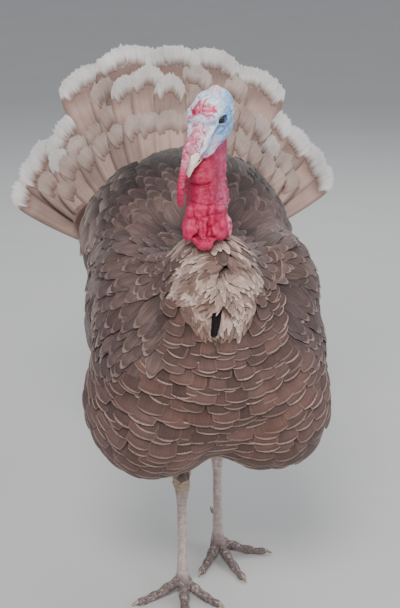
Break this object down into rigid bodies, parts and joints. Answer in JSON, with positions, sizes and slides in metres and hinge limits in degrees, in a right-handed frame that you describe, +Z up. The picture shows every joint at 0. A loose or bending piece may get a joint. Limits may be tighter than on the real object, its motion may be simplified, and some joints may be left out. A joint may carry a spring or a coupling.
{
  "type": "domestic turkey",
  "caption": "Life-size still model of a strutting domestic tom turkey with a raised tail fan, standing on both feet.",
  "frame": {"origin": "bottom centre of the bounding box, on the floor midway between the body's ends", "axes": "+Z up; the bird faces -Y, its left side is at +X"},
  "size_m": [0.5408, 0.6056, 0.8287],
  "materials": {
    "plumage": "matte",
    "wing_feather": "matte",
    "tail_feather": "matte",
    "bare_skin": "satin",
    "caruncle": "satin",
    "horn": "satin",
    "leg_scale": "matte",
    "beard_hair": "matte",
    "eye": "gloss"
  },
  "bodies": {
    "root": {"beard": "beard_hair", "bill_lower": "horn", "bill_upper": "horn", "caruncles": "caruncle", "claw_left_hind": "horn", "claw_left_inner": "horn", "claw_left_middle": "horn", "claw_left_outer": "horn", "claw_right_hind": "horn", "claw_right_inner": "horn", "claw_right_middle": "horn", "claw_right_outer": "horn", "coverts_long": "tail_feather", "coverts_short": "tail_feather", "eye_left": "eye", "eye_right": "eye", "head": "bare_skin", "neck": "caruncle", "primaries_left": "wing_feather", "primaries_right": "wing_feather", "shank_left": "leg_scale", "shank_right": "leg_scale", "snood": "caruncle", "spur_left": "horn", "spur_right": "horn", "tail_fan": "tail_feather", "thigh_left": "plumage", "thigh_right": "plumage", "toe_left_hind": "leg_scale", "toe_left_inner": "leg_scale", "toe_left_middle": "leg_scale", "toe_left_outer": "leg_scale", "toe_right_hind": "leg_scale", "toe_right_inner": "leg_scale", "toe_right_middle": "leg_scale", "toe_right_outer": "leg_scale", "trunk": "plumage", "wing_left": "wing_feather", "wing_right": "wing_feather"}
  },
  "joints": []
}
